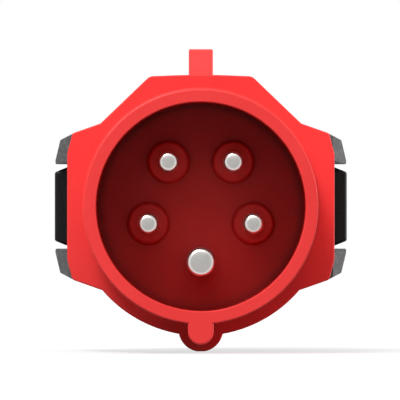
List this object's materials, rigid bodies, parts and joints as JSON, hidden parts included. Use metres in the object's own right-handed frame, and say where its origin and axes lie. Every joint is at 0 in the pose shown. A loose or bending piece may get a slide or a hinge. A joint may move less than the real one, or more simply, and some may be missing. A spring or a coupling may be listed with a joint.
{
  "type": "industrial pin and sleeve plug",
  "caption": "Red industrial pin and sleeve plug with a keyed round sleeve, recessed contact pins, a retaining lug, side release buttons and a grey gland handle.",
  "frame": {"origin": "centre of the sleeve's open rim, on the contact axis", "axes": "+Y along the contact axis from the rim to the cable gland, +Z towards the retaining lug (the key points to -Z), +X to the right as seen into the sleeve"},
  "size_m": [0.0722, 0.143, 0.0743],
  "materials": {
    "housing_red": "satin",
    "carrier_red": "satin",
    "pin_nickel": "satin",
    "screw_steel": "satin",
    "frame_black": "matte",
    "seal_rubber": "matte",
    "handle_grey": "matte",
    "button_black": "satin",
    "spring_steel": "satin",
    "gland_rubber": "matte",
    "claw_black": "matte",
    "washer_steel": "satin",
    "nut_grey": "matte"
  },
  "bodies": {
    "plug": {"front_housing": "housing_red", "contact_carrier": "carrier_red", "pin_line_1": "pin_nickel", "pin_line_2": "pin_nickel", "pin_line_3": "pin_nickel", "pin_neutral": "pin_nickel", "pin_earth": "pin_nickel", "screw_line_1": "screw_steel", "screw_line_2": "screw_steel", "screw_line_3": "screw_steel", "screw_neutral": "screw_steel", "screw_earth": "screw_steel", "latch_frame": "frame_black", "body_seal": "seal_rubber", "handle_shell": "handle_grey", "button_spring_left": "spring_steel", "button_spring_right": "spring_steel", "gland_seal": "gland_rubber", "gland_claw": "claw_black"},
    "button_left": {"release_button_left": "button_black"},
    "button_right": {"release_button_right": "button_black"},
    "thrust_washer": {"gland_washer": "washer_steel"},
    "clamp_nut": {"gland_nut": "nut_grey"}
  },
  "joints": [
    {"name": "button_left_press", "type": "slide", "parent": "plug", "child": "button_left", "axis": [1, 0, 0], "range_m": [0, 0.003], "stiffness_N_per_m": 1000, "springref_m": -0.003, "deforming": ["button_spring_left"]},
    {"name": "button_right_press", "type": "slide", "parent": "plug", "child": "button_right", "axis": [-1, 0, 0], "range_m": [0, 0.003], "stiffness_N_per_m": 1000, "springref_m": -0.003, "deforming": ["button_spring_right"]},
    {"name": "washer_follow", "type": "slide", "parent": "plug", "child": "thrust_washer", "axis": [0, 1, 0], "range_m": [0, 0.0061]},
    {"name": "nut_turn", "type": "hinge", "parent": "thrust_washer", "child": "clamp_nut", "pos_m": [0, 0.12, 0], "axis": [0, 1, 0], "range_deg": [0, 1080]}
  ],
  "couplings": [
    {"joint": "washer_follow", "follows": "nut_turn", "m_per_rad": 0.00031831}
  ]
}
